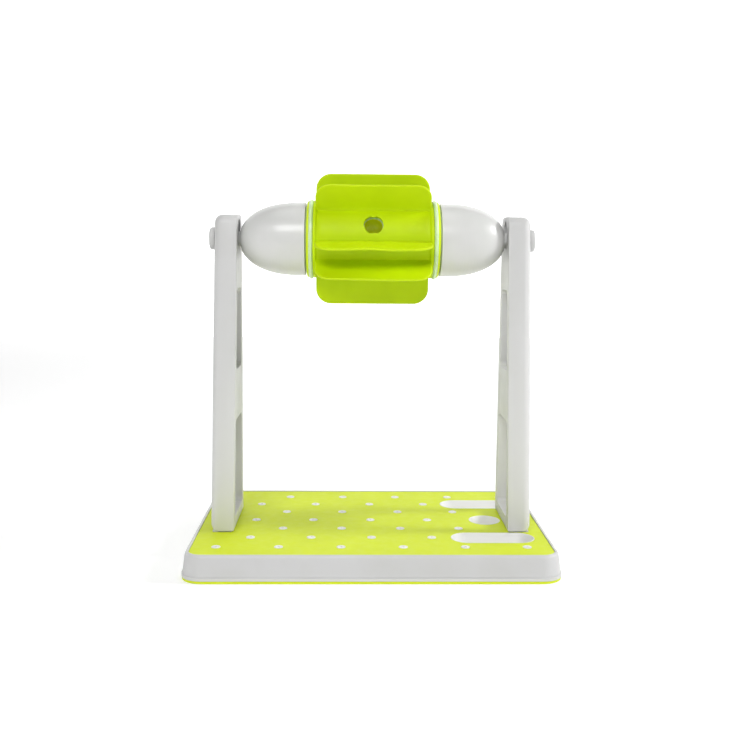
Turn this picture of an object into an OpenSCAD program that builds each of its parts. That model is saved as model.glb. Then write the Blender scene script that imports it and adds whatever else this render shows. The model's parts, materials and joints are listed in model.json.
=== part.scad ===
// Treat roller stand for pets: a dispensing drum with soft paddles turns on two
// removable pins between a pair of uprights, above a studded mat that catches the treats.
// The floor is z = 0, X runs along the drum, and +Y points to the back of the stand.

/* [Base] */
// Length of the base at the floor
base_length = 265; // [262:1:290]
// Depth of the base at the floor
base_depth = 178; // [176:1:210]
// Height of the rim above the floor
base_height = 19; // [19:0.5:26]
// Draft of each side wall
base_draft = 2.2; // [1:0.1:3]
// Radius of the base corners in plan
base_corner = 15; // [14:0.5:20]
// Thickness of the grip sole
sole_thickness = 2; // [1.5:0.1:2.5]
// Radius that rounds the top of the rim
rim_round = 2; // [1:0.1:2.2]

/* [Mat] */
// Thickness of the soft mat
mat_thickness = 2; // [1.5:0.1:2.5]
// How far the mat lies below the rim
mat_drop = 0.5; // [0.2:0.1:1]
// Diameter of a stud head
stud_diameter = 6.4; // [4:0.1:8]
// Spacing of the studs along a row
stud_pitch = 44; // [42:0.5:44]
// Spacing of the rows
row_pitch = 22; // [21:0.5:22]

/* [Treat wells] */
// Length of a trough
trough_length = 61; // [40:1:61]
// Width of a trough, and diameter of the round dish
trough_width = 24; // [16:0.5:24]
// Depth of a trough
trough_depth = 6; // [4:0.25:6.5]

/* [Uprights] */
// Distance between the inner faces of the two uprights
upright_gap = 203.6; // [203:0.1:205]
// Thickness of an upright
upright_thickness = 17; // [15:0.5:18]
// Half depth of an upright at its foot
foot_half = 32.5; // [28:0.5:32.5]
// Half depth of an upright at its top
head_half = 16.5; // [14:0.5:18]
// Height of the top of an upright above the floor
upright_top = 253.5; // [252:0.5:260]
// Radius that rounds the outer side of an upright
upright_round = 5.5; // [3:0.5:6]
// Width of the side bars beside the windows
side_bar = 8; // [6:0.5:9]

/* [Drum] */
// Height of the drum axis above the floor
axis_height = 235.5; // [232:0.5:236]
// Outer radius of the soft sleeve between the paddles
sleeve_radius = 27.7; // [27:0.1:28.2]
// Radius over the paddle tips
paddle_radius = 50; // [44:0.5:54]
// Length of a paddle along the axis
paddle_length = 86.4; // [70:0.1:86.8]
// Thickness of a paddle at its tip
paddle_tip = 1.8; // [1.4:0.1:2.4]
// Thickness of a paddle at its root
paddle_root = 2.4; // [2:0.1:3.2]
// Diameter of a treat hole
port_diameter = 14.5; // [10:0.5:16]
// Distance from the middle of the drum to the blunt tip of an end cap
tip_distance = 99.7; // [97:0.1:99.8]

/* [Axle pins] */
// Diameter of a pin
pin_diameter = 8; // [6:0.5:8]
// Diameter of a pin head
head_diameter = 17; // [14:0.1:20]
// Thickness of a pin head
head_thickness = 4.6; // [3:0.1:6]

/* [Hidden] */
$fn = 96;
// Overshoot of every cut past the faces that it opens
cut = 1;
// Thickness of the slices that a lofted shape is built from
slice = 0.02;
// Radial room round a screw in a plain hole, and how far its thread bites into a pilot hole
screw_room = 0.2;
thread_bite = 0.05;
// Room past the tip of a screw
tip_room = 1;

// Colours
shell_white = [0.90, 0.90, 0.89];
cap_white = [0.93, 0.93, 0.92];
natural_plastic = [0.86, 0.91, 0.80];
mat_green = [0.72, 0.84, 0.13];
paddle_green = [0.62, 0.76, 0.08];
steel_grey = [0.62, 0.63, 0.65];
ring_black = [0.12, 0.12, 0.12];

// Base, from the floor up
lip_height = 2.4;
lip_top = sole_thickness + lip_height;
lip_ledge = 0.6;
sole_inset = 0.3;
wall_thickness = 2.8;
deck_thickness = 2.3;
mat_top = base_height - mat_drop;
deck_top = mat_top - mat_thickness;
deck_underside = deck_top - deck_thickness;
rim_width = 2.6;
top_length = base_length - 2 * base_draft;
top_depth = base_depth - 2 * base_draft;
mat_length = top_length - 2 * rim_width;
mat_depth = top_depth - 2 * rim_width;
mat_corner = 9.7;
rib_thickness = 1.6;
rib_height = 9;
seat_gap = 0.1;

// Studs stand in staggered rows
stud_rise = 0.5;
stud_room = 0.05;
dimple_diameter = 2.4;
dimple_depth = 1.2;
long_row = [-2.5, -1.5, -0.5, 0.5, 1.5, 2.5];
mid_row = [-1.5, -0.5, 0.5, 1.5];
offset_row = [-2, -1, 0, 1];
stud_places = [
    for (row = [-3, 3], i = long_row) [i * stud_pitch, row * row_pitch],
    for (row = [-1, 1], i = mid_row) [i * stud_pitch, row * row_pitch],
    for (row = [-2, 0, 2], i = offset_row) [i * stud_pitch, row * row_pitch]
];

// Troughs and dish lie beside the right upright
well_x = 88.5;
trough_y = 44.5;
well_floor = 1.6;
well_rim = 0.7;
well_proud = 0.1;

// Screw posts that hold the sole
post_diameter = 7;
post_x = 119;
post_y = 76;
post_places = [for (x = [-post_x, 0, post_x], y = [-post_y, post_y]) [x, y]];
sole_screw_shank = 2.6;
sole_screw_head = 5.6;
sole_screw_head_height = 1;
sole_screw_length = 9;
sole_screw_sink = 0.3;
sole_screw_socket = 2;
sole_socket_depth = 0.6;
head_room = 0.3;

// Uprights stand on pads and are held by tenons and screws
upright_inner = upright_gap / 2;
upright_outer = upright_inner + upright_thickness;
upright_middle = (upright_inner + upright_outer) / 2;
pad_height = 1.2;
upright_foot = mat_top + pad_height;
pad_inset = 1.5;
tenon_inset = 3.4;
tenon_half = foot_half - 4.5;
tenon_bottom = 6.2;
socket_wall = 2.4;
socket_floor = 2.6;
upright_screw_y = 18;
upright_screw_shank = 3.5;
upright_screw_head = 6.8;
upright_screw_head_height = 2;
upright_screw_length = 15;
upright_screw_socket = 2.6;
upright_socket_depth = 1.2;
driver_hole = 8.8;
upright_screw_bottom = tenon_bottom - socket_floor - upright_screw_head_height;
head_corner = 8;
taper_angle = atan((foot_half - head_half) / (upright_top - upright_foot));
lower_window = [27.3, 99.5];
upper_window = [137, 198];
window_corner = 4;
recess_depth = 3;
recess_half = 6.1;
recess_top = upright_top - 3.1;

// Drum, measured along the axis from its middle
port_angles = [24, 114, 204, 294];
paddle_offset = 30;
paddle_corner = 11.5;
tube_bore = 22.4;
tube_radius = 24.95;
sleeve_gap = 0.05;
flange_start = 42;
flange_end = 45.1;
flange_radius = 29.3;
flange_edge = 0.5;
flange_blend = 1.4;
bead_start = 45.2;
bead_end = 48.1;
bead_radius = 30.3;
bead_edge = 1;
neck_radius = 24.4;
neck_end = 57.5;
seal_end = 49.8;
seal_radius = 29;
seal_edge_radius = 28;
seal_edge = 1;
core_port_diameter = port_diameter - 0.7;
cap_rim = 50.9;
cap_radius = 27.7;
shoulder = 56;
cap_length = 45.5;
cap_power = 2.2;
cap_wall = 2.3;
crown_wall = 5.5;
cap_edge = 0.3;
skirt_depth = 8;
skirt_bore = 24.5;
bayonet_start = 53.2;
bayonet_end = 55.8;
bayonet_radius = 25.6;
bayonet_width = 16;
bayonet_twist = 40;
bayonet_play = 2;
bayonet_room = 0.3;
lug_root = 0.5;
hub_radius = 7.4;
hub_depth = 16.5;
bush_radius = 5;
bush_depth = 13.5;
journal_radius = 5.7;
journal_end = upright_inner + recess_depth - 0.4;
running_gap = 0.05;

// Axle pins
pin_tip = 88;
pin_chamfer = 1;
collar_radius = 6.4;
collar_start = upright_outer + 0.3;
head_start = collar_start + 0.4;
head_edge = 0.5;
head_round = 1.8;
head_crown = 0.2;
ring_place = 112;
ring_width = 2.4;
ring_inner = pin_diameter / 2 - 0.9;
ring_proud = 0.02;

// Plan outline with four round corners
module rounded_rectangle(length, depth, radius) {
    square([length - 2 * radius, depth], center = true);
    square([length, depth - 2 * radius], center = true);
    for (x = [-1, 1], y = [-1, 1])
        translate([x * (length / 2 - radius), y * (depth / 2 - radius)]) circle(radius);
}

module rounded_plate(length, depth, height, radius) {
    linear_extrude(height) rounded_rectangle(length, depth, radius);
}

// Box given by its centre in plan, its size and its bottom
module block(x, y, bottom, length, depth, height) {
    translate([x - length / 2, y - depth / 2, bottom]) cube([length, depth, height]);
}

// Outline with two round ends, along X
module stadium(length, width) {
    square([length - width, width], center = true);
    for (side = [-1, 1]) translate([side * (length - width) / 2, 0]) circle(width / 2);
}

// Turns a shape drawn around +Z so that it lies around the drum axis, +Z along +X
module on_axis() {
    translate([0, 0, axis_height]) rotate([0, 90, 0]) children();
}

// Turns a shape drawn up +Z to point out of the drum, at an angle above the front
module out_of_drum(angle) {
    translate([0, 0, axis_height]) rotate([90 - angle, 0, 0]) children();
}

// The left side uses the same mouldings as the right side, turned round
module turned_round() {
    rotate([0, 0, 180]) children();
}

// ---------------------------------------------------------------- base

module base_sole() {
    color(mat_green) difference() {
        rounded_plate(base_length - 2 * sole_inset, base_depth - 2 * sole_inset,
            sole_thickness, base_corner);
        for (place = post_places) translate([place.x, place.y, -cut]) {
            cylinder(d = sole_screw_shank + 2 * screw_room, h = sole_thickness + 2 * cut);
            cylinder(d = sole_screw_head + 2 * head_room,
                h = cut + sole_screw_sink + sole_screw_head_height);
        }
        for (x = [-1, 1], y = [-1, 1])
            translate([x * upright_middle, y * upright_screw_y, -cut])
                cylinder(d = driver_hole, h = sole_thickness + 2 * cut);
    }
}

module sole_screws() {
    color(steel_grey) for (place = post_places) translate([place.x, place.y, sole_screw_sink]) {
        difference() {
            cylinder(d = sole_screw_head, h = sole_screw_head_height);
            translate([0, 0, -cut])
                cylinder(d = sole_screw_socket, h = cut + sole_socket_depth, $fn = 6);
        }
        cylinder(d = sole_screw_shank, h = sole_screw_length);
    }
}

// Side walls with draft and a rounded rim, without the openings
module base_body() {
    translate([0, 0, sole_thickness])
        rounded_plate(base_length, base_depth, lip_height, base_corner);
    hull() {
        translate([0, 0, lip_top - slice])
            rounded_plate(base_length - 2 * lip_ledge, base_depth - 2 * lip_ledge, slice,
                base_corner - lip_ledge, $fn = 64);
        for (turn = [0:22.5:90]) {
            inset = rim_round * (1 - cos(turn));
            level = base_height - rim_round * (1 - sin(turn));
            translate([0, 0, level - slice])
                rounded_plate(top_length - 2 * inset, top_depth - 2 * inset, slice,
                    base_corner - base_draft - inset, $fn = 64);
        }
    }
}

module base_shell() {
    cavity_height = deck_underside - sole_thickness;
    color(shell_white) difference() {
        union() {
            difference() {
                base_body();
                translate([0, 0, deck_top])
                    rounded_plate(mat_length, mat_depth, base_height, mat_corner);
                translate([0, 0, sole_thickness - cut])
                    rounded_plate(top_length - 2 * wall_thickness,
                        top_depth - 2 * wall_thickness, cavity_height + cut, mat_corner);
            }
            for (place = post_places)
                translate([place.x, place.y, sole_thickness])
                    cylinder(d = post_diameter, h = cavity_height + cut);
            for (row = [-1, 1])
                block(0, row * row_pitch, deck_underside - rib_height,
                    mat_length, rib_thickness, rib_height + cut);
            for (place = [-1.5, -0.5, 0.5])
                block(place * stud_pitch, 0, deck_underside - rib_height,
                    rib_thickness, mat_depth, rib_height + cut);
            for (side = [-1, 1]) {
                block(side * upright_middle, 0, tenon_bottom - socket_floor,
                    upright_thickness - 2 * tenon_inset + 2 * socket_wall,
                    2 * (tenon_half + socket_wall),
                    deck_top - tenon_bottom + socket_floor);
                block(side * upright_middle, 0, deck_top - cut,
                    upright_thickness - 2 * pad_inset, 2 * (foot_half - pad_inset),
                    upright_foot - deck_top + cut);
            }
        }
        for (side = [-1, 1]) {
            block(side * upright_middle, 0, tenon_bottom,
                upright_thickness - 2 * tenon_inset + 2 * seat_gap,
                2 * (tenon_half + seat_gap), base_height);
            for (y = [-1, 1])
                translate([side * upright_middle, y * upright_screw_y, 0])
                    cylinder(d = upright_screw_shank + 2 * screw_room, h = base_height);
            translate([well_x, side * trough_y, 0])
                linear_extrude(base_height + cut)
                    stadium(trough_length + 2 * seat_gap, trough_width + 2 * seat_gap);
        }
        translate([well_x, 0, 0])
            cylinder(d = trough_width + 2 * seat_gap, h = base_height + cut);
        for (place = post_places)
            translate([place.x, place.y, 0])
                cylinder(d = sole_screw_shank + 2 * thread_bite,
                    h = sole_screw_sink + sole_screw_length + tip_room);
    }
}

module base_mat() {
    color(mat_green) translate([0, 0, deck_top]) difference() {
        rounded_plate(mat_length - 2 * seat_gap, mat_depth - 2 * seat_gap,
            mat_thickness, mat_corner);
        for (place = stud_places)
            translate([place.x, place.y, -cut])
                cylinder(d = stud_diameter + 2 * stud_room, h = mat_thickness + 2 * cut);
        for (side = [-1, 1]) {
            translate([well_x, side * trough_y, -cut])
                linear_extrude(mat_thickness + 2 * cut)
                    stadium(trough_length + 2 * seat_gap, trough_width + 2 * seat_gap);
            block(side * upright_middle, 0, -cut,
                upright_thickness - 2 * pad_inset + 2 * seat_gap,
                2 * (foot_half - pad_inset + seat_gap), mat_thickness + 2 * cut);
        }
        translate([well_x, 0, -cut])
            cylinder(d = trough_width + 2 * seat_gap, h = mat_thickness + 2 * cut);
    }
}

module mat_studs() {
    color(shell_white) for (place = stud_places)
        translate([place.x, place.y, deck_top]) difference() {
            cylinder(d = stud_diameter, h = mat_thickness + stud_rise, $fn = 32);
            translate([0, 0, mat_thickness + stud_rise - dimple_depth])
                cylinder(d = dimple_diameter, h = dimple_depth + cut, $fn = 24);
        }
}

// Radius of a bowl that is cut by a circle of the given half width at the given depth
function bowl_radius(half_width, depth) = (half_width ^ 2 + depth ^ 2) / (2 * depth);

module trough() {
    bottom = mat_top + well_proud - trough_depth - well_floor;
    half_width = trough_width / 2 - well_rim;
    radius = bowl_radius(half_width, trough_depth);
    reach = (trough_length - trough_width) / 2;
    color(shell_white) translate([well_x, 0, 0]) difference() {
        translate([0, 0, bottom])
            linear_extrude(mat_top + well_proud - bottom) stadium(trough_length, trough_width);
        translate([0, 0, mat_top + well_proud - trough_depth + radius]) {
            rotate([0, 90, 0]) cylinder(r = radius, h = 2 * reach, center = true);
            for (side = [-1, 1]) translate([side * reach, 0, 0]) sphere(r = radius);
        }
    }
}

module trough_front() {
    translate([0, -trough_y, 0]) trough();
}

module trough_rear() {
    translate([0, trough_y, 0]) trough();
}

module treat_dish() {
    bottom = mat_top + well_proud - trough_depth - well_floor;
    radius = bowl_radius(trough_width / 2 - well_rim, trough_depth);
    color(shell_white) translate([well_x, 0, 0]) difference() {
        translate([0, 0, bottom])
            cylinder(d = trough_width, h = mat_top + well_proud - bottom);
        translate([0, 0, mat_top + well_proud - trough_depth + radius]) sphere(r = radius);
    }
}

// ---------------------------------------------------------------- uprights

// Half depth of an upright at a height above the floor
function half_at(z) =
    foot_half - (foot_half - head_half) * (z - upright_foot) / (upright_top - upright_foot);

// Side outline of an upright, drawn in Y and Z, moved in from its edge by an inset
function upright_outline(inset) = let (
    radius = head_corner - inset,
    centre_z = upright_top - head_corner,
    centre_y = half_at(centre_z) - head_corner / cos(taper_angle),
    foot_z = upright_foot + inset,
    foot_y = half_at(foot_z) - inset / cos(taper_angle),
    arc = [for (turn = [0:6]) taper_angle + turn * (90 - taper_angle) / 6]
) concat(
    [[foot_y, foot_z]],
    [for (turn = arc) [centre_y + radius * cos(turn), centre_z + radius * sin(turn)]],
    [for (i = [6:-1:0]) [-centre_y - radius * cos(arc[i]), centre_z + radius * sin(arc[i])]],
    [[-foot_y, foot_z]]
);

// A flat slice of an upright at a distance from the middle of the stand
module upright_slice(x, inset) {
    translate([x, 0, 0]) rotate([90, 0, 90])
        linear_extrude(slice) polygon(upright_outline(inset));
}

// Window that follows the taper of the sides, with rounded corners
module window(levels) {
    module corner(side, level, inward) {
        z = level + inward * window_corner;
        y = half_at(z) - side_bar - window_corner;
        translate([side * y, z]) circle(window_corner, $fn = 32);
    }
    translate([upright_inner - cut, 0, 0]) rotate([90, 0, 90])
        linear_extrude(upright_thickness + 2 * cut) hull() {
            for (side = [-1, 1]) {
                corner(side, levels[0], 1);
                corner(side, levels[1], -1);
            }
        }
}

module upright_right() {
    color(shell_white) difference() {
        union() {
            hull() {
                upright_slice(upright_inner, 0);
                for (turn = [0:22.5:90])
                    upright_slice(upright_outer - slice - upright_round * (1 - sin(turn)),
                        upright_round * (1 - cos(turn)));
            }
            block(upright_middle, 0, tenon_bottom, upright_thickness - 2 * tenon_inset,
                2 * tenon_half, upright_foot - tenon_bottom + cut);
        }
        window(lower_window);
        window(upper_window);
        translate([upright_inner - cut, 0, 0]) {
            translate([0, 0, axis_height]) rotate([0, 90, 0])
                cylinder(r = recess_half, h = recess_depth + cut);
            translate([0, 0, recess_top - recess_half]) rotate([0, 90, 0])
                cylinder(r = recess_half, h = recess_depth + cut);
            translate([0, -recess_half, axis_height])
                cube([recess_depth + cut, 2 * recess_half,
                    recess_top - recess_half - axis_height]);
        }
        on_axis() translate([0, 0, upright_inner - cut])
            cylinder(d = pin_diameter + 2 * running_gap, h = upright_thickness + 2 * cut);
        for (y = [-1, 1])
            translate([upright_middle, y * upright_screw_y, 0])
                cylinder(d = upright_screw_shank + 2 * thread_bite,
                    h = upright_screw_bottom + upright_screw_length + tip_room);
    }
}

module upright_left() {
    turned_round() upright_right();
}

module upright_screws() {
    color(steel_grey) for (x = [-1, 1], y = [-1, 1])
        translate([x * upright_middle, y * upright_screw_y, upright_screw_bottom]) {
            difference() {
                cylinder(d = upright_screw_head, h = upright_screw_head_height);
                translate([0, 0, -cut])
                    cylinder(d = upright_screw_socket, h = cut + upright_socket_depth, $fn = 6);
            }
            cylinder(d = upright_screw_shank, h = upright_screw_length);
        }
}

// ---------------------------------------------------------------- drum

module core_tube() {
    half_profile = [
        [tube_bore, 0], [tube_bore, neck_end], [neck_radius, neck_end],
        [neck_radius, bead_end], [bead_radius - bead_edge, bead_end],
        [bead_radius, bead_end - bead_edge], [bead_radius, bead_start + bead_edge],
        [bead_radius - bead_edge, bead_start],
        [tube_radius, bead_start], [tube_radius, 0]
    ];
    color(natural_plastic) difference() {
        on_axis() {
            rotate_extrude() polygon(half_profile);
            mirror([0, 0, 1]) rotate_extrude() polygon(half_profile);
            for (end = [0, 1], lug = [0, 180]) mirror([0, 0, end])
                translate([0, 0, bayonet_start]) rotate([0, 0, lug - bayonet_width / 2])
                    rotate_extrude(angle = bayonet_width)
                        translate([neck_radius - lug_root, 0])
                            square([bayonet_radius - neck_radius + lug_root,
                                bayonet_end - bayonet_start]);
        }
        for (angle = port_angles)
            out_of_drum(angle) cylinder(d = core_port_diameter, h = tube_radius + cut);
    }
}

// One paddle, drawn up +Z with its length along X
module paddle() {
    top = paddle_radius;
    root = tube_radius + 1;
    tip_z = top - paddle_tip / 2;
    intersection() {
        rotate([90, 0, 90]) linear_extrude(paddle_length, center = true) {
            polygon([[-paddle_root / 2, root], [paddle_root / 2, root],
                [paddle_tip / 2, tip_z], [-paddle_tip / 2, tip_z]]);
            translate([0, tip_z]) circle(paddle_tip / 2, $fn = 24);
        }
        rotate([90, 0, 0]) linear_extrude(2 * paddle_root, center = true) {
            translate([-paddle_length / 2, 0]) square([paddle_length, top - paddle_corner]);
            translate([paddle_corner - paddle_length / 2, 0])
                square([paddle_length - 2 * paddle_corner, top + cut]);
            for (side = [-1, 1])
                translate([side * (paddle_length / 2 - paddle_corner), top - paddle_corner])
                    circle(paddle_corner, $fn = 64);
        }
    }
}

module paddle_sleeve() {
    bore = tube_radius + sleeve_gap;
    half_profile = [
        [bore, 0], [bore, flange_end], [flange_radius - flange_edge, flange_end],
        [flange_radius, flange_end - flange_edge], [flange_radius, flange_start + flange_blend],
        [sleeve_radius, flange_start], [sleeve_radius, 0]
    ];
    color(paddle_green) difference() {
        union() {
            on_axis() {
                rotate_extrude() polygon(half_profile);
                mirror([0, 0, 1]) rotate_extrude() polygon(half_profile);
            }
            for (angle = port_angles) {
                out_of_drum(angle + paddle_offset) paddle();
                out_of_drum(angle - paddle_offset) paddle();
            }
        }
        on_axis() cylinder(r = bore, h = paddle_length, center = true);
        for (angle = port_angles)
            out_of_drum(angle) cylinder(d = port_diameter, h = sleeve_radius + cut);
    }
}

module seal_right() {
    color(paddle_green) on_axis() rotate_extrude()
        polygon([
            [neck_radius + sleeve_gap, bead_end], [seal_radius, bead_end],
            [seal_radius, bead_end + seal_edge], [seal_edge_radius, seal_end],
            [neck_radius + sleeve_gap, seal_end]
        ]);
}

module seal_left() {
    turned_round() seal_right();
}

// Radius of an end cap at a distance along the axis, less a wall
function cap_profile(x, wall) =
    x <= shoulder ? cap_radius - wall :
    (cap_radius - wall) * (1 - ((x - shoulder) / (cap_length - wall)) ^ cap_power) ^ (1 / cap_power);

module end_cap_right() {
    steps = 26;
    crown = tip_distance - shoulder;
    skirt_end = cap_rim + skirt_depth;
    hub_start = tip_distance - hub_depth;
    outside = [for (i = [0:steps])
        let (x = shoulder + crown * sin(90 * i / steps)) [cap_profile(x, 0), x]];
    inner_reach = cap_length - crown_wall;
    inside = [for (i = [0:steps])
        let (x = shoulder + inner_reach * sin(90 * i / steps)) [cap_profile(x, cap_wall), x]];
    slot_inner = skirt_bore - lug_root;
    slot_depth = bayonet_radius + bayonet_room - slot_inner;
    color(cap_white) on_axis() difference() {
        union() {
            rotate_extrude() difference() {
                polygon(concat([[0, cap_rim], [cap_radius - cap_edge, cap_rim],
                    [cap_radius, cap_rim + cap_edge]], outside, [[0, tip_distance]]));
                polygon(concat([[0, cap_rim - cut], [skirt_bore, cap_rim - cut],
                    [skirt_bore, skirt_end], [cap_radius - cap_wall, skirt_end]],
                    [for (p = inside) if (p.y > skirt_end) p], [[0, shoulder + inner_reach]]));
            }
            translate([0, 0, hub_start]) cylinder(r = hub_radius, h = hub_depth);
        }
        translate([0, 0, tip_distance - bush_depth])
            cylinder(r = bush_radius, h = bush_depth + cut);
        for (lug = [0, 180]) {
            translate([0, 0, bayonet_start - bayonet_room])
                rotate([0, 0, lug - bayonet_width / 2 - bayonet_play])
                    rotate_extrude(angle = bayonet_width + bayonet_twist + 2 * bayonet_play)
                        translate([slot_inner, 0])
                            square([slot_depth, bayonet_end - bayonet_start + 2 * bayonet_room]);
            translate([0, 0, cap_rim - cut])
                rotate([0, 0, lug + bayonet_twist - bayonet_width / 2 - bayonet_play])
                    rotate_extrude(angle = bayonet_width + 2 * bayonet_play)
                        translate([slot_inner, 0])
                            square([slot_depth, bayonet_end - cap_rim + cut]);
        }
    }
}

module end_cap_left() {
    turned_round() end_cap_right();
}

module bush_right() {
    color(shell_white) on_axis() difference() {
        union() {
            translate([0, 0, tip_distance - bush_depth])
                cylinder(r = bush_radius, h = bush_depth + cut);
            translate([0, 0, tip_distance])
                cylinder(r = journal_radius, h = journal_end - tip_distance);
        }
        translate([0, 0, tip_distance - bush_depth - cut])
            cylinder(d = pin_diameter + 2 * running_gap,
                h = bush_depth + journal_end - tip_distance + 2 * cut);
    }
}

module bush_left() {
    turned_round() bush_right();
}

// ---------------------------------------------------------------- axle pins

module axle_pin_right() {
    radius = pin_diameter / 2;
    head_radius = head_diameter / 2;
    head_end = head_start + head_thickness;
    color(shell_white) on_axis() rotate_extrude()
        polygon(concat(
            [[0, pin_tip], [radius - pin_chamfer, pin_tip], [radius, pin_tip + pin_chamfer],
                [radius, ring_place - ring_width / 2], [ring_inner, ring_place - ring_width / 2],
                [ring_inner, ring_place + ring_width / 2], [radius, ring_place + ring_width / 2],
                [radius, collar_start], [collar_radius, collar_start],
                [collar_radius, head_start], [head_radius - head_edge, head_start],
                [head_radius, head_start + head_edge]],
            [for (turn = [0:15:90]) [head_radius - head_round * (1 - cos(turn)),
                head_end - head_round * (1 - sin(turn)) - head_crown * sin(turn)]],
            [[0, head_end]]
        ));
}

module axle_pin_left() {
    turned_round() axle_pin_right();
}

// Rubber ring that keeps a pin from working loose
module pin_ring_right() {
    color(ring_black) on_axis() translate([0, 0, ring_place - ring_width / 2]) difference() {
        cylinder(r = pin_diameter / 2 + ring_proud, h = ring_width);
        translate([0, 0, -cut]) cylinder(r = ring_inner, h = ring_width + 2 * cut);
    }
}

module pin_ring_left() {
    turned_round() pin_ring_right();
}

base_sole();
sole_screws();
base_shell();
base_mat();
mat_studs();
trough_front();
trough_rear();
treat_dish();
upright_left();
upright_right();
upright_screws();
core_tube();
paddle_sleeve();
seal_left();
seal_right();
end_cap_left();
end_cap_right();
bush_left();
bush_right();
axle_pin_left();
axle_pin_right();
pin_ring_left();
pin_ring_right();
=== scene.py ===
"""Looks of a treat roller stand: materials, soft paddles, lights and camera around its CAD frame."""
import json
import math

import bmesh
import bpy
from mathutils import Matrix, Vector, noise


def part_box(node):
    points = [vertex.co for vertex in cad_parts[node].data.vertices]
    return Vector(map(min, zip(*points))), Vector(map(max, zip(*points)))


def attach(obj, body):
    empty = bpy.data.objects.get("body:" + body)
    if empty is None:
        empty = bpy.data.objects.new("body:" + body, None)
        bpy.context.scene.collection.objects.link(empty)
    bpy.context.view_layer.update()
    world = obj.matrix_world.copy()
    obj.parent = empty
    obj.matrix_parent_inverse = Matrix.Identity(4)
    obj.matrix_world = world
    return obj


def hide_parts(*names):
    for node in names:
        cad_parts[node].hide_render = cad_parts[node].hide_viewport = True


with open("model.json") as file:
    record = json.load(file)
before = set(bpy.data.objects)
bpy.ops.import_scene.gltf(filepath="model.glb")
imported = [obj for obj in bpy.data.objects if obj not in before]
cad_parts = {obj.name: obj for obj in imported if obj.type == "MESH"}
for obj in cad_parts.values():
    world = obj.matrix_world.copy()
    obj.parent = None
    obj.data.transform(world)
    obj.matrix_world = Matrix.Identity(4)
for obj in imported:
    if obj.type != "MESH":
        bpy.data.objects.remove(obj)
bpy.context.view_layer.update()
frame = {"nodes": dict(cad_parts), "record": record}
nodes = frame["nodes"]

MM = 0.001


def node_box(name):
    """Lowest and highest corner of a CAD node in millimetres."""
    low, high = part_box(name)
    return low / MM, high / MM


AXIS_Z = sum(corner.z for corner in node_box("core_tube")) / 2
# The core tube's bore has a radius of 22.4 mm; the painted light of its bore reaches just into its
# wall
BORE_LIGHT_RADIUS = 23.0


# ------------------------------------------------------------------ shader helpers

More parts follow.
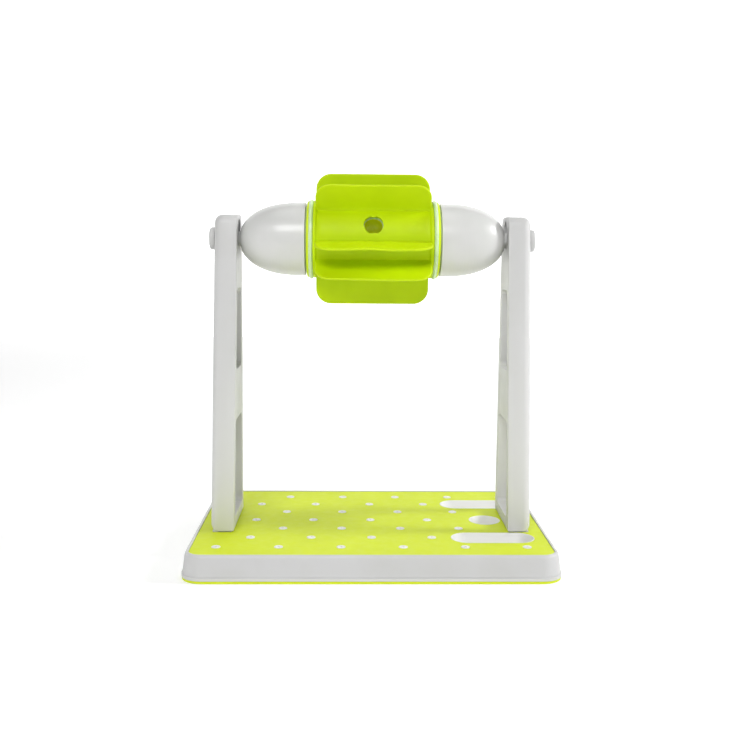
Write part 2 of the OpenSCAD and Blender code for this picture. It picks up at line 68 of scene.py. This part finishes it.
class Shader:
    """A material with a Principled shader, and short calls for the nodes that feed it."""

    def __init__(self, name):
        self.material = bpy.data.materials.new(name)
        self.material.use_nodes = True
        self.tree = self.material.node_tree
        self.principled = self.tree.nodes["Principled BSDF"]
        coordinates = self.tree.nodes.new("ShaderNodeTexCoord")
        self.place = coordinates.outputs["Object"]
        self.height = None

    def set(self, **values):
        """Sets sockets of the Principled shader; underscores stand for spaces."""
        for name, value in values.items():
            self.principled.inputs[name.replace("_", " ")].default_value = value

    def stretched(self, factors):
        """Object coordinates stretched by a factor along each axis."""
        mapping = self.tree.nodes.new("ShaderNodeMapping")
        mapping.inputs["Scale"].default_value = factors
        self.tree.links.new(self.place, mapping.inputs["Vector"])
        return mapping.outputs["Vector"]

    def noise(self, size, detail=2.0, roughness=0.5, vector=None):
        """Soft noise whose blobs measure about size metres, from 0 to 1."""
        node = self.tree.nodes.new("ShaderNodeTexNoise")
        node.inputs["Scale"].default_value = 1.0 / size
        node.inputs["Detail"].default_value = detail
        node.inputs["Roughness"].default_value = roughness
        self.tree.links.new(vector or self.place, node.inputs["Vector"])
        return node.outputs["Fac"]

    def cells(self, size):
        """Distance to the nearest of scattered points, about size metres apart."""
        node = self.tree.nodes.new("ShaderNodeTexVoronoi")
        node.inputs["Scale"].default_value = 1.0 / size
        self.tree.links.new(self.place, node.inputs["Vector"])
        return node.outputs["Distance"]

    def ramp(self, value, low, high, low_out=0.0, high_out=1.0):
        """Value mapped from low..high to low_out..high_out, and held there outside."""
        node = self.tree.nodes.new("ShaderNodeMapRange")
        node.inputs["From Min"].default_value = low
        node.inputs["From Max"].default_value = high
        node.inputs["To Min"].default_value = low_out
        node.inputs["To Max"].default_value = high_out
        self.tree.links.new(value, node.inputs["Value"])
        return node.outputs["Result"]

    def edges(self):
        """1 on sharp outer edges, 0 on flat faces; the materials use it to paint a highlight along
        these edges.
        """
        geometry = self.tree.nodes.new("ShaderNodeNewGeometry")
        return self.ramp(geometry.outputs["Pointiness"], 0.52, 0.62)

    def blend(self, factor, first, second):
        """Mix of two colours, each a colour or a socket."""
        node = self.tree.nodes.new("ShaderNodeMix")
        node.data_type = "RGBA"
        self.tree.links.new(factor, node.inputs["Factor"])
        for socket, colour in (("A", first), ("B", second)):
            target = [s for s in node.inputs if s.name == socket and s.type == "RGBA"][0]
            if isinstance(colour, bpy.types.NodeSocket):
                self.tree.links.new(colour, target)
            else:
                target.default_value = (*colour, 1.0)
        return [s for s in node.outputs if s.type == "RGBA"][0]

    def near_axis(self, radius):
        """1 within a radius in millimetres of the drum's axis, and 0 outside it."""
        subtract = self.tree.nodes.new("ShaderNodeVectorMath")
        subtract.operation = "SUBTRACT"
        subtract.inputs[1].default_value = (0.0, 0.0, AXIS_Z * MM)
        self.tree.links.new(self.place, subtract.inputs[0])
        across = self.tree.nodes.new("ShaderNodeVectorMath")
        across.operation = "MULTIPLY"
        across.inputs[1].default_value = (0.0, 1.0, 1.0)
        self.tree.links.new(subtract.outputs[0], across.inputs[0])
        length = self.tree.nodes.new("ShaderNodeVectorMath")
        length.operation = "LENGTH"
        self.tree.links.new(across.outputs[0], length.inputs[0])
        edge = radius * MM
        return self.ramp(length.outputs["Value"], edge, edge + 0.2 * MM, 1.0, 0.0)

    def link(self, socket, name):
        self.tree.links.new(socket, self.principled.inputs[name])

    def colour(self, socket):
        self.link(socket, "Base Color")

    def roughness(self, socket):
        self.link(socket, "Roughness")

    def bump(self, value, depth, strength=1.0):
        """Adds relief that is depth metres high; several calls add up."""
        node = self.tree.nodes.new("ShaderNodeBump")
        node.inputs["Distance"].default_value = depth
        node.inputs["Strength"].default_value = strength
        self.tree.links.new(value, node.inputs["Height"])
        if self.height is not None:
            self.tree.links.new(self.height, node.inputs["Normal"])
        self.height = node.outputs["Normal"]
        self.link(self.height, "Normal")


def linear(red, green, blue):
    """Linear colour from display values from 0 to 255."""
    def decode(value):
        value /= 255.0
        return value / 12.92 if value <= 0.04045 else ((value + 0.055) / 1.055) ** 2.4
    return (decode(red), decode(green), decode(blue))


# ------------------------------------------------------------------ materials

def satin_white(name, tone):
    """Moulded white plastic with a fine spark-eroded grain, and a painted highlight: a lighter white
    along its sharp edges.
    """
    s = Shader(name)
    s.set(Roughness=0.42, Specular_IOR_Level=0.45)
    dust = s.ramp(s.noise(38 * MM, 4.0), 0.42, 0.68)
    body = s.blend(dust, linear(tone, tone, tone), linear(tone - 5, tone - 5, tone - 7))
    # Painted highlight: sharp edges are painted a lighter white than the faces.
    s.colour(s.blend(s.edges(), body, linear(tone + 10, tone + 10, tone + 9)))
    s.roughness(s.ramp(s.noise(9 * MM, 3.0), 0.3, 0.7, 0.36, 0.5))
    s.bump(s.noise(0.45 * MM, 2.0), 0.012 * MM, 0.6)
    s.bump(s.noise(26 * MM, 1.0), 0.12 * MM, 0.5)
    return s.material


def gloss_white():
    """Polished white plastic of the end caps, with faint ripples and handling marks."""
    s = Shader("gloss_white")
    s.set(Roughness=0.34, Specular_IOR_Level=0.5, Coat_Weight=0.3, Coat_Roughness=0.22)
    haze = s.ramp(s.noise(24 * MM, 4.0), 0.4, 0.7)
    s.colour(s.blend(haze, linear(207, 207, 205), linear(202, 203, 200)))
    marks = s.noise(1.1 * MM, 6.0, 0.7, s.stretched((0.12, 1.0, 1.0)))
    s.roughness(s.ramp(marks, 0.45, 0.75, 0.32, 0.46))
    s.bump(s.noise(20 * MM, 1.0), 0.10 * MM, 0.4)
    s.bump(marks, 0.004 * MM, 0.5)
    return s.material


def mat_rubber():
    """Soft matt green rubber with a pebbled skin."""
    s = Shader("mat_rubber")
    s.set(Roughness=0.62, Specular_IOR_Level=0.3)
    tone = s.ramp(s.noise(30 * MM, 4.0), 0.35, 0.7)
    body = s.blend(tone, linear(206, 221, 36), linear(200, 215, 31))
    dust = s.ramp(s.cells(7 * MM), 0.02, 0.05, 1.0, 0.0)
    s.colour(s.blend(dust, body, linear(190, 204, 60)))
    s.roughness(s.ramp(s.noise(6 * MM, 3.0), 0.3, 0.7, 0.54, 0.7))
    s.bump(s.noise(0.6 * MM, 2.0), 0.03 * MM, 0.8)
    s.bump(s.noise(14 * MM, 2.0), 0.10 * MM, 0.5)
    return s.material


def paddle_rubber():
    """Bright flexible green rubber, a little translucent, with flow marks from moulding."""
    s = Shader("paddle_rubber")
    s.set(Roughness=0.5, Specular_IOR_Level=0.15, Subsurface_Weight=0.12,
          Subsurface_Scale=2 * MM, Subsurface_Radius=(0.7, 1.0, 0.04))
    tone = s.ramp(s.noise(22 * MM, 4.0), 0.35, 0.7)
    body = s.blend(tone, linear(192, 218, 3), linear(186, 212, 2))
    # Painted highlight: the sharp edges of the paddles are painted a lighter yellow-green.
    s.colour(s.blend(s.edges(), body, linear(212, 234, 40)))
    s.roughness(s.ramp(s.noise(5 * MM, 3.0), 0.3, 0.7, 0.38, 0.54))
    s.bump(s.noise(0.5 * MM, 2.0), 0.015 * MM, 0.7)
    s.bump(s.noise(11 * MM, 2.0), 0.14 * MM, 0.5)
    return s.material


def natural_plastic():
    """Cloudy uncoloured plastic of the core tube.

    Light that comes through the green rubber tints its bore, and a faint glow stands for it.
    """
    s = Shader("natural_plastic")
    s.set(Roughness=0.3, Specular_IOR_Level=0.5, Subsurface_Weight=0.6,
          Subsurface_Scale=2 * MM, Subsurface_Radius=(0.8, 1.0, 0.5))
    cloud = s.ramp(s.noise(8 * MM, 4.0), 0.3, 0.7)
    body = s.blend(cloud, linear(206, 228, 186), linear(196, 220, 168))
    # Painted light: inside the bore the plastic is painted green-yellow and glows faintly, for the
    # light that comes through the green rubber.
    inside = s.near_axis(BORE_LIGHT_RADIUS)
    s.colour(s.blend(inside, body, (0.86, 0.93, 0.02)))
    s.link(s.blend(inside, (0.0, 0.0, 0.0), (0.70, 0.80, 0.0)), "Emission Color")
    s.set(Emission_Strength=0.06)
    s.roughness(s.ramp(s.noise(3 * MM, 3.0), 0.3, 0.7, 0.24, 0.4))
    s.bump(s.noise(2 * MM, 2.0), 0.02 * MM, 0.5)
    return s.material


def screw_steel():
    """Zinc-plated screws with turning marks."""
    s = Shader("screw_steel")
    s.set(Metallic=1.0, Roughness=0.35)
    s.colour(s.blend(s.noise(1.5 * MM, 4.0), (0.50, 0.51, 0.53), (0.62, 0.62, 0.60)))
    s.roughness(s.ramp(s.noise(0.8 * MM, 4.0), 0.3, 0.7, 0.26, 0.46))
    s.bump(s.noise(0.3 * MM, 2.0), 0.01 * MM, 0.5)
    return s.material


def black_rubber():
    """Retaining rings of the pins."""
    s = Shader("black_rubber")
    s.set(Roughness=0.6)
    s.colour(s.blend(s.noise(1.0 * MM, 3.0), (0.012, 0.012, 0.012), (0.03, 0.03, 0.03)))
    s.roughness(s.ramp(s.noise(0.6 * MM, 3.0), 0.3, 0.7, 0.5, 0.7))
    s.bump(s.noise(0.2 * MM, 2.0), 0.01 * MM, 0.5)
    return s.material


MATERIALS = {
    "white_shell": satin_white("satin_white", 194),
    "cap_gloss": gloss_white(),
    "natural_plastic": natural_plastic(),
    "mat_rubber": mat_rubber(),
    "paddle_rubber": paddle_rubber(),
    # Painted light: a lighter copy of the satin white for the wells and studs, which stand in
    # stronger light than the base shell.
    "painted_lit_white": satin_white("painted_lit_white", 218),
    "screw_steel": screw_steel(),
    "ring_rubber": black_rubber(),
}


def paint(piece, material):
    piece.data.materials.clear()
    piece.data.materials.append(material)


# ------------------------------------------------------------------ mesh helpers

class Sheet:
    """Collects the points, in millimetres, and the faces of one mesh."""

    def __init__(self):
        self.points = []
        self.faces = []

    def row(self, points):
        first = len(self.points)
        self.points.extend(points)
        return list(range(first, first + len(points)))

    def strip(self, first, second, closed=False):
        """Quads between two rows of equal length."""
        count = len(first)
        for i in range(count if closed else count - 1):
            j = (i + 1) % count
            self.faces.append((first[i], first[j], second[j], second[i]))

    def strips(self, rows, closed=False):
        for first, second in zip(rows, rows[1:]):
            self.strip(first, second, closed)

    def fill(self, loops):
        """Triangles inside the first loop of points and outside the others."""
        bm = bmesh.new()
        own = {}
        for loop in loops:
            corners = [bm.verts.new(self.points[i]) for i in loop]
            own.update(zip(corners, loop))
            for first, second in zip(corners, corners[1:] + corners[:1]):
                bm.edges.new((first, second))
        bmesh.ops.triangle_fill(bm, use_beauty=True, use_dissolve=False, edges=bm.edges[:])
        self.faces += [tuple(own[v] for v in face.verts) for face in bm.faces]
        bm.free()

    def piece(self, name, material, body, slot, *replaced):
        """Makes the mesh, which moves with a body and is shown in place of CAD nodes."""
        mesh = bpy.data.meshes.new(name)
        mesh.from_pydata([tuple(c * MM for c in p) for p in self.points], [], self.faces)
        bm = bmesh.new()
        bm.from_mesh(mesh)
        bmesh.ops.remove_doubles(bm, verts=bm.verts, dist=0.001 * MM)
        bmesh.ops.recalc_face_normals(bm, faces=bm.faces)
        for face in bm.faces:
            face.smooth = abs(face.normal.z) < 0.9999
        bm.to_mesh(mesh)
        bm.free()
        made = bpy.data.objects.new(name, mesh)
        bpy.context.scene.collection.objects.link(made)
        paint(made, material)
        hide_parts(*replaced)
        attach(made, body)
        return made


def quarter_round(radius, steps=4):
    """Pairs (inset from the wall, drop below the top) along a rounded edge, wall first."""
    turns = [math.pi / 2 * i / steps for i in range(steps + 1)]
    return [(radius * (1 - math.cos(t)), radius * (1 - math.sin(t))) for t in turns]


# ------------------------------------------------------------------ soft paddle sleeve

PORT_ANGLES = (24, 114, 204, 294)
SLEEVE_RADIUS = 27.7
SLEEVE_BORE = 25.0
SLEEVE_END = 45.1
SLEEVE_EDGE = 0.6
FLANGE_RADIUS = 29.3
FLANGE_START = 41.6
FLANGE_BLEND = 1.8
COLUMN = 2.5
QUARTER = round(90 / COLUMN)
PATCH_CELLS = 10
PATCH_CELL = 1.2
PORT_RADIUS = 7.25
PORT_ROUND = 0.55
NIB_REACH = 1.0
NIB_HALF_ANGLE = 13.0
NIB_DEPTH = 1.4


def drum_point(x, angle, radius, aside=0.0):
    """Point at a radius and an angle above the front, moved aside along the turn."""
    a = math.radians(angle)
    return (x, -math.cos(a) * radius + math.sin(a) * aside,
            AXIS_Z + math.sin(a) * radius + math.cos(a) * aside)


def sleeve_rows():
    """Pairs (x, radius) of the sleeve's outer surface, from one end to the other."""
    rise = FLANGE_RADIUS - SLEEVE_RADIUS
    patch_half = PATCH_CELLS * PATCH_CELL
    half = [(i * PATCH_CELL, SLEEVE_RADIUS) for i in range(PATCH_CELLS + 1)]
    half += [(patch_half + (FLANGE_START - patch_half) * i / 8, SLEEVE_RADIUS)
             for i in range(1, 9)]
    half += [(FLANGE_START + FLANGE_BLEND * t, SLEEVE_RADIUS + rise * (3 * t * t - 2 * t ** 3))
             for t in (0.2, 0.4, 0.6, 0.8, 1.0)]
    half += [(SLEEVE_END - inset, FLANGE_RADIUS - drop)
             for inset, drop in reversed(quarter_round(SLEEVE_EDGE))]
    return [(-x, r) for x, r in half[:0:-1]] + half


def patch_border():
    """Cells (row, column) around the square patch that holds a port."""
    n = PATCH_CELLS
    border = [(row, n) for row in range(-n, n)]
    border += [(n, column) for column in range(n, -n, -1)]
    border += [(row, -n) for row in range(n, -n, -1)]
    border += [(-n, column) for column in range(-n, n)]
    return border


def in_patch(row, column):
    """True if the cell after this row and column, counted from a port, lies in its patch."""
    near = (column + QUARTER // 2) % QUARTER - QUARTER // 2
    return -PATCH_CELLS <= row < PATCH_CELLS and -PATCH_CELLS <= near < PATCH_CELLS


def port_ring(port, radius, hole, nib=0.0):
    """Where a port's wall meets a cylinder round the axis. Nibs narrow the hole at two spots."""
    ring = []
    for row, column in patch_border():
        turn = math.atan2(column, row)
        off = abs(abs(math.degrees(turn)) - 90)
        reach = hole - nib * math.sqrt(max(0.0, 1.0 - (off / NIB_HALF_ANGLE) ** 2))
        aside = reach * math.sin(turn)
        height = math.sqrt(radius ** 2 - aside ** 2)
        ring.append(drum_point(reach * math.cos(turn), port, height, aside))
    return ring


def between_on_sleeve(first, second, share):
    """Point between two others, lifted back onto the sleeve's surface."""
    x, y, z = (a + (b - a) * share for a, b in zip(first, second))
    lift = SLEEVE_RADIUS / math.hypot(y, z - AXIS_Z)
    return (x, y * lift, AXIS_Z + (z - AXIS_Z) * lift)


def add_sleeve_body(sheet):
    """Tube with a flange at each end. A square patch of its grid gives way to each port."""
    rows = sleeve_rows()
    middle = len(rows) // 2
    columns = 4 * QUARTER
    grids = []
    for bore in (0.0, SLEEVE_BORE):
        grid = [sheet.row([drum_point(x, PORT_ANGLES[0] + c * COLUMN, bore or radius)
                           for c in range(columns)]) for x, radius in rows]
        grids.append(grid)
        for r in range(len(rows) - 1):
            for c in range(columns):
                if not in_patch(r - middle, c):
                    d = (c + 1) % columns
                    sheet.faces.append((grid[r][c], grid[r][d], grid[r + 1][d], grid[r + 1][c]))
    for end in (0, -1):
        sheet.strip(grids[0][end], grids[1][end], closed=True)
    for number, port in enumerate(PORT_ANGLES):
        outer, inner = ([grid[middle + r][(number * QUARTER + c) % columns]
                         for r, c in patch_border()] for grid in grids)
        border = [sheet.points[i] for i in outer]
        lip = port_ring(port, SLEEVE_RADIUS, PORT_RADIUS + PORT_ROUND)
        rings = [outer]
        for share in (0.35, 0.6, 0.8, 0.93, 1.0):
            rings.append(sheet.row([between_on_sleeve(a, b, share)
                                    for a, b in zip(border, lip)]))
        for inset, drop in reversed(quarter_round(PORT_ROUND)):
            rings.append(sheet.row(port_ring(port, SLEEVE_RADIUS - drop, PORT_RADIUS + inset,
                                             NIB_REACH)))
        for radius, nib in ((SLEEVE_RADIUS - NIB_DEPTH, NIB_REACH),
                            (SLEEVE_RADIUS - NIB_DEPTH, 0.0), (SLEEVE_BORE, 0.0)):
            rings.append(sheet.row(port_ring(port, radius, PORT_RADIUS, nib)))
        sheet.strips(rings + [inner], closed=True)


PADDLE_REACH = 49.9
PADDLE_HALF = 43.2
PADDLE_CORNER = 11.5
PADDLE_TIP = 1.8
PADDLE_ROOT = 2.4
PADDLE_BASE = 26.6
PADDLE_EDGE = 0.85
FLARE_HEIGHT = 1.2
FLARE_WIDTH = 0.5
SAG = 1.7
WAVE = 1.1
WAVE_LENGTH = 34.0
# Step through the noise from one paddle to the next, so that no two are alike
WAVE_STEP = 0.37
WAVE_SLICE = 0.5
# How far the rows of a paddle's mesh draw in from its sides on the way to its root
ROW_NARROWING = 0.28

# Lean of each paddle's tip in millimetres, by its angle, on top of its sag
PADDLE_LEAN = {354: -0.5, 54: 0.3, 84: -0.3, 144: 0.4, 174: -0.5, 234: 0.6, 264: -0.8, 324: 1.5}


def paddle_outline():
    """Pairs (x, radius) along the free edge of a paddle, from root to root."""
    shoulder = PADDLE_REACH - PADDLE_CORNER
    flat = PADDLE_HALF - PADDLE_CORNER
    half = [(flat * (1 - i / 20), PADDLE_REACH) for i in range(20, 0, -1)]
    turns = [math.pi / 2 * i / 12 for i in range(13)]
    half += [(flat + PADDLE_CORNER * math.sin(t), shoulder + PADDLE_CORNER * math.cos(t))
             for t in turns]
    half += [(PADDLE_HALF, shoulder - (shoulder - PADDLE_BASE) * i / 10) for i in range(1, 11)]
    return [(-x, r) for x, r in half[:0:-1]] + half


def edge_distance(x, radius):
    """Distance from a point of a paddle to its free edge."""
    side = PADDLE_HALF - abs(x)
    top = PADDLE_REACH - radius
    if side < PADDLE_CORNER and top < PADDLE_CORNER:
        return PADDLE_CORNER - math.hypot(PADDLE_CORNER - side, PADDLE_CORNER - top)
    return min(side, top)


def add_paddle(sheet, angle):
    """A limp blade that sags under its weight and is a little wavy along its free edge."""
    outline = paddle_outline()
    shares = (0, 0.004, 0.015, 0.035, 0.06, 0.1, 0.17, 0.27, 0.4, 0.55, 0.7, 0.82, 0.9, 0.95, 1)
    lean = PADDLE_LEAN[angle] - SAG * math.cos(math.radians(angle))
    for face in (-1, 1):
        rows = []
        for share in shares:
            points = []
            for edge_x, edge_radius in outline:
                x = edge_x * (1 - ROW_NARROWING * share)
                radius = edge_radius + (PADDLE_BASE - edge_radius) * share
                rise = max(0.0, radius - SLEEVE_RADIUS)
                up = rise / (PADDLE_REACH - SLEEVE_RADIUS)
                near = min(1.0, max(0.0, edge_distance(x, radius)) / PADDLE_EDGE)
                half = (PADDLE_ROOT + (PADDLE_TIP - PADDLE_ROOT) * up) / 2
                half *= math.sqrt(1 - (1 - near) ** 2)
                half += FLARE_WIDTH * max(0.0, 1 - rise / FLARE_HEIGHT) ** 2 * near
                ripple = noise.noise(Vector((x / WAVE_LENGTH, angle * WAVE_STEP, WAVE_SLICE)))
                bend = lean * up ** 2 + WAVE * ripple * up ** 1.5
                points.append(drum_point(x, angle, radius, bend + face * half))
            rows.append(sheet.row(points))
        sheet.strips(rows)


def make_sleeve():
    sheet = Sheet()
    add_sleeve_body(sheet)
    for angle in PADDLE_LEAN:
        add_paddle(sheet, angle)
    sheet.piece("paddle_sleeve_soft", MATERIALS["paddle_rubber"], "drum", "paddle_rubber",
                "paddle_sleeve")


# ------------------------------------------------------------------ mat and studs

STUD_PITCH = 44.0
ROW_PITCH = 22.0
STUD_ROWS = {-3: (-2.5, -1.5, -0.5, 0.5, 1.5, 2.5), 3: (-2.5, -1.5, -0.5, 0.5, 1.5, 2.5),
             -1: (-1.5, -0.5, 0.5, 1.5), 1: (-1.5, -0.5, 0.5, 1.5),
             -2: (-2, -1, 0, 1), 0: (-2, -1, 0, 1), 2: (-2, -1, 0, 1)}
STUD_PLACES = [(i * STUD_PITCH, row * ROW_PITCH) for row, along in STUD_ROWS.items()
               for i in along]
STUD_RADIUS = 3.2
WELLS = ("trough_front", "trough_rear", "treat_dish")
# A corner radius larger than any well, so that its ends become half circles
FULLY_ROUND = 100.0
# Pairs (radius, depth below the top) of a stud, from its wall over its crown into its hole
STUD_PROFILE = ((3.2, 0.5), (3.15, 0.28), (2.95, 0.12), (2.6, 0.04), (1.6, 0.0), (1.3, 0.02),
                (1.12, 0.12), (1.02, 0.35), (0.95, 1.2), (0.5, 1.35), (0.001, 1.4))
MAT_CORNER = 9.7
MAT_EDGE = 0.45
HOLE_EDGE = 0.15


def rounded_loop(x, y, length, depth, radius, steps=14):
    """Outline with round corners, anticlockwise; a circle or a stadium is a special case."""
    loop = []
    for quarter, (right, back) in enumerate(((1, 1), (-1, 1), (-1, -1), (1, -1))):
        for i in range(steps + 1):
            turn = math.pi / 2 * (quarter + i / steps)
            loop.append((x + right * (length / 2 - radius) + radius * math.cos(turn),
                         y + back * (depth / 2 - radius) + radius * math.sin(turn)))
    return [p for p, q in zip(loop, loop[1:] + loop[:1]) if math.dist(p, q) > 1e-6]


def box_loop(name, radius):
    """A function of growth that gives the outline of a CAD node's box, with round corners."""
    low, high = node_box(name)
    x, y = (low.x + high.x) / 2, (low.y + high.y) / 2
    length, depth = high.x - low.x, high.y - low.y
    corner = min(radius, length / 2, depth / 2)
    return lambda grow: rounded_loop(x, y, length + 2 * grow, depth + 2 * grow, corner + grow)


def stud_hole(x, y):
    side = 2 * STUD_RADIUS
    return lambda grow: rounded_loop(x, y, side + 2 * grow, side + 2 * grow,
                                     STUD_RADIUS + grow, steps=6)


def make_mat():
    sheet = Sheet()
    low, high = node_box("base_mat")
    holes = [stud_hole(x, y) for x, y in STUD_PLACES]
    holes += [box_loop(name, FULLY_ROUND) for name in WELLS]
    tops, bottoms = [], []
    for outline, inward in [(box_loop("base_mat", MAT_CORNER), -1)] + [(h, 1) for h in holes]:
        rounding = MAT_EDGE if inward < 0 else HOLE_EDGE
        rings = [sheet.row([(x, y, low.z) for x, y in outline(0.0)])]
        rings += [sheet.row([(x, y, high.z - drop) for x, y in outline(inward * inset)])
                  for inset, drop in quarter_round(rounding)]
        sheet.strips(rings, closed=True)
        bottoms.append(rings[0])
        tops.append(rings[-1])
    sheet.fill(tops)
    sheet.fill(bottoms)
    sheet.piece("base_mat_soft", MATERIALS["mat_rubber"], "stand", "mat_rubber", "base_mat")


def make_studs():
    """Low round heads, each with a small blind hole in its middle."""
    low, high = node_box("mat_studs")
    profile = [(STUD_RADIUS, low.z)] + [(r, high.z - depth) for r, depth in STUD_PROFILE]
    steps = 28
    sheet = Sheet()
    for x, y in STUD_PLACES:
        rings = []
        for radius, z in profile:
            rings.append(sheet.row([(x + radius * math.cos(2 * math.pi * i / steps),
                                     y + radius * math.sin(2 * math.pi * i / steps), z)
                                    for i in range(steps)]))
        sheet.strips(rings, closed=True)
        sheet.faces.append(tuple(rings[0]))
    # Painted light: the studs get the lighter copy of the white.
    sheet.piece("mat_studs_dimpled", MATERIALS["painted_lit_white"], "stand", "white_shell",
                "mat_studs")


# ------------------------------------------------------------------ CAD nodes that stay

# Width in millimetres of the small rounding on the sharp edges of a node
EDGE_ROUNDING = {
    "base_shell": 0.4, "base_sole": 0.4, "trough_front": 0.25, "trough_rear": 0.25,
    "treat_dish": 0.25, "upright_left": 0.5, "upright_right": 0.5,
    "axle_pin_left": 0.2, "axle_pin_right": 0.2,
}
# Faces that meet at less than the first angle shade smoothly; past the second they are rounded
SMOOTH_ANGLE = 35
SHARP_ANGLE = 40


def soften(node, width):
    """Joins a node's loose faces and rounds its sharp edges."""
    weld = node.modifiers.new("weld", "WELD")
    weld.merge_threshold = 0.005 * MM
    bevel = node.modifiers.new("rounding", "BEVEL")
    bevel.width = width * MM
    bevel.segments = 3
    bevel.limit_method = "ANGLE"
    bevel.angle_limit = math.radians(SHARP_ANGLE)
    bevel.harden_normals = True
    bevel.miter_outer = "MITER_ARC"


def dress_cad_nodes():
    """Gives each CAD node its material; the wells are painted a brighter white than the base, which
    stands for the stronger light that falls into them.
    """
    slots = {part["node"]: part["material_slot"] for part in frame["record"]["subparts"]}
    for name, node in nodes.items():
        paint(node, MATERIALS["painted_lit_white" if name in WELLS else slots[name]])
        node.data.shade_smooth()
        node.data.set_sharp_from_angle(angle=math.radians(SMOOTH_ANGLE))
        if name in EDGE_ROUNDING:
            soften(node, EDGE_ROUNDING[name])


# ------------------------------------------------------------------ floor, lights and camera

def make_floor():
    """A pale round floor whose rim curves up into a low wall, and a glowing screen behind."""
    steps, sides = 16, 96
    flat, bend, height = 2.6, 0.3, 0.85
    rows = [(0.001, 0.0), (0.5, 0.0), (1.2, 0.0), (flat, 0.0)]
    rows += [(flat + bend * math.sin(math.pi / 2 * i / steps),
              bend * (1 - math.cos(math.pi / 2 * i / steps))) for i in range(1, steps + 1)]
    rows.append((flat + bend, height))
    points = [(r * math.cos(2 * math.pi * i / sides), r * math.sin(2 * math.pi * i / sides), z)
              for r, z in rows for i in range(sides)]
    faces = [(j * sides + i, j * sides + (i + 1) % sides, (j + 1) * sides + (i + 1) % sides,
              (j + 1) * sides + i) for j in range(len(rows) - 1) for i in range(sides)]
    s = Shader("floor_paint")
    s.set(Roughness=0.8, Specular_IOR_Level=0.15, Emission_Strength=0.19,
          Emission_Color=(1.0, 1.0, 1.0, 1.0))
    s.colour(s.blend(s.noise(0.4, 3.0), (0.94, 0.94, 0.94), (0.92, 0.92, 0.92)))
    s.roughness(s.ramp(s.noise(0.1, 2.0), 0.3, 0.7, 0.75, 0.85))
    s.bump(s.noise(0.01, 2.0), 0.05 * MM, 0.3)
    add_stage("floor", points, faces, s.material)
    width, behind, tall = 2.2, 1.6, 2.2
    glow = Shader("screen_glow")
    glow.set(Base_Color=(0.6, 0.6, 0.6, 1.0), Emission_Strength=1.0,
             Emission_Color=(1.0, 1.0, 1.0, 1.0))
    corners = [(-width, behind, 0.0), (width, behind, 0.0), (width, behind, tall),
               (-width, behind, tall)]
    add_stage("screen", corners, [(0, 1, 2, 3)], glow.material)


def add_stage(name, points, faces, material):
    """A smooth mesh in metres that belongs to the studio, not to the object."""
    mesh = bpy.data.meshes.new(name)
    mesh.from_pydata(points, [], faces)
    mesh.shade_smooth()
    made = bpy.data.objects.new(name, mesh)
    bpy.context.scene.collection.objects.link(made)
    paint(made, material)


def area_light(name, place, target, size, power, spread=180):
    """A rectangular lamp that looks at a point; spread is the angle of its grid in degrees."""
    data = bpy.data.lights.new(name, "AREA")
    data.shape = "RECTANGLE"
    data.size, data.size_y = size
    data.energy = power
    data.spread = math.radians(spread)
    light = bpy.data.objects.new(name, data)
    light.location = place
    light.rotation_euler = (Vector(target) - Vector(place)).to_track_quat("-Z", "Y").to_euler()
    bpy.context.scene.collection.objects.link(light)


def make_lights():
    """A small key light from the right, a soft one overhead and a gridded one above the front."""
    world = bpy.data.worlds.new("studio")
    world.use_nodes = True
    background = world.node_tree.nodes["Background"]
    background.inputs["Color"].default_value = (1.0, 1.0, 1.0, 1.0)
    background.inputs["Strength"].default_value = 0.13
    bpy.context.scene.world = world
    middle = (0.0, 0.0, 0.12)
    area_light("key", (1.6, 0.0, 1.0), middle, (0.3, 0.3), 20.0)
    area_light("top", (-0.1, -0.1, 2.0), middle, (1.2, 1.2), 3.2, 120)
    area_light("high_front", (-0.35, -1.5, 1.25), middle, (1.1, 0.6), 2.1, 50)


# Camera place in millimetres, and its yaw, pitch and roll in degrees
CAMERA_PLACE = (-16.1, -730.8, 233.7)
CAMERA_TURN = (1.42, 2.576, 0.5)


def make_camera():
    """The stand is seen from just in front of its middle, a little below its axle."""
    data = bpy.data.cameras.new("camera")
    data.sensor_width = 36.0
    data.lens = 45.81
    data.shift_y = -0.12
    data.clip_start, data.clip_end = 0.05, 20.0
    camera = bpy.data.objects.new("camera", data)
    yaw, pitch, roll = (math.radians(angle) for angle in CAMERA_TURN)
    camera.location = [c * MM for c in CAMERA_PLACE]
    turn = Matrix.Rotation(-yaw, 4, "Z") @ Matrix.Rotation(math.pi / 2 - pitch, 4, "X")
    camera.rotation_euler = (turn @ Matrix.Rotation(roll, 4, "Z")).to_euler()
    bpy.context.scene.collection.objects.link(camera)
    bpy.context.scene.camera = camera


dress_cad_nodes()
make_sleeve()
make_mat()
make_studs()
make_floor()
make_lights()
make_camera()
bpy.context.scene.view_settings.view_transform = "Standard"
